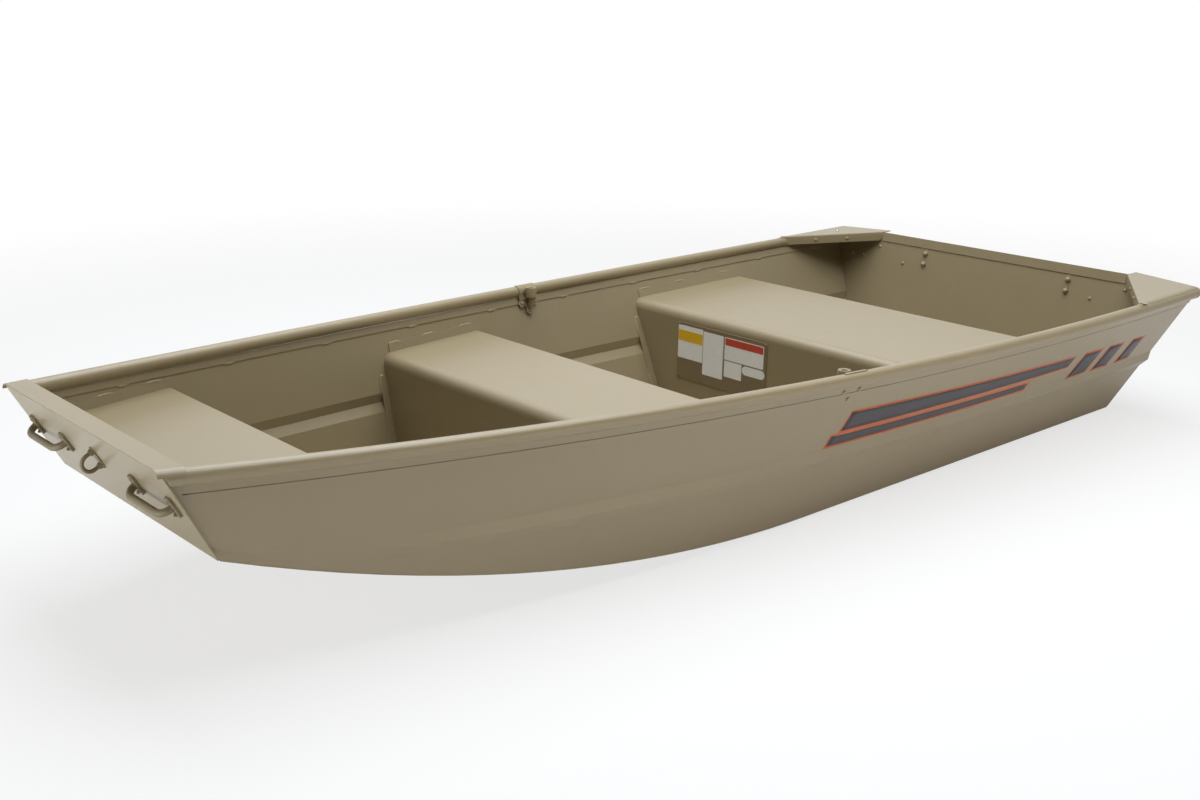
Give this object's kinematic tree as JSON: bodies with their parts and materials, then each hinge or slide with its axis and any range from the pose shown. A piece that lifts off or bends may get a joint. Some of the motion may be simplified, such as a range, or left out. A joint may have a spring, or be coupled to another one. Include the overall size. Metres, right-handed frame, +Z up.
{
  "type": "jon boat",
  "caption": "Small flat-bottomed open boat of painted aluminium sheet, with box benches, a round gunwale tube, bow handles, oarlock sockets and a raked transom.",
  "frame": {"origin": "on the centreline, halfway along the overall length, at the foot of the keels where the boat stands on a floor", "axes": "-X towards the bow, +X towards the transom, +Y to starboard, +Z up"},
  "size_m": [3.037, 1.2408, 0.454],
  "materials": {
    "hull_paint": "satin olive-khaki paint over aluminium sheet",
    "fitting_paint": "darker satin olive paint on cast and bent fittings",
    "bare_aluminium": "bare spun aluminium"
  },
  "bodies": {
    "root": {"hull_bottom": "hull_paint", "side_starboard": "hull_paint", "side_port": "hull_paint", "gunwale_starboard": "hull_paint", "gunwale_port": "hull_paint", "gunwale_channel_starboard": "hull_paint", "gunwale_channel_port": "hull_paint", "bow_plate": "hull_paint", "bow_cap": "hull_paint", "bow_seat": "hull_paint", "mid_seat": "hull_paint", "rear_seat": "hull_paint", "keel_center": "hull_paint", "keel_starboard": "hull_paint", "keel_port": "hull_paint", "bow_handle_starboard": "fitting_paint", "bow_handle_port": "fitting_paint", "bow_eye": "fitting_paint", "transom_outer": "hull_paint", "transom_inner": "hull_paint", "transom_cap": "hull_paint", "corner_bracket_starboard": "hull_paint", "corner_bracket_port": "hull_paint", "drain_tube": "bare_aluminium", "stern_eye_starboard": "fitting_paint", "stern_eye_port": "fitting_paint", "oarlock_socket_starboard": "fitting_paint", "oarlock_socket_port": "fitting_paint", "floor_rib_1": "hull_paint", "floor_rib_2": "hull_paint", "floor_rib_3": "hull_paint", "floor_rib_4": "hull_paint", "floor_rib_5": "hull_paint"}
  },
  "joints": []
}
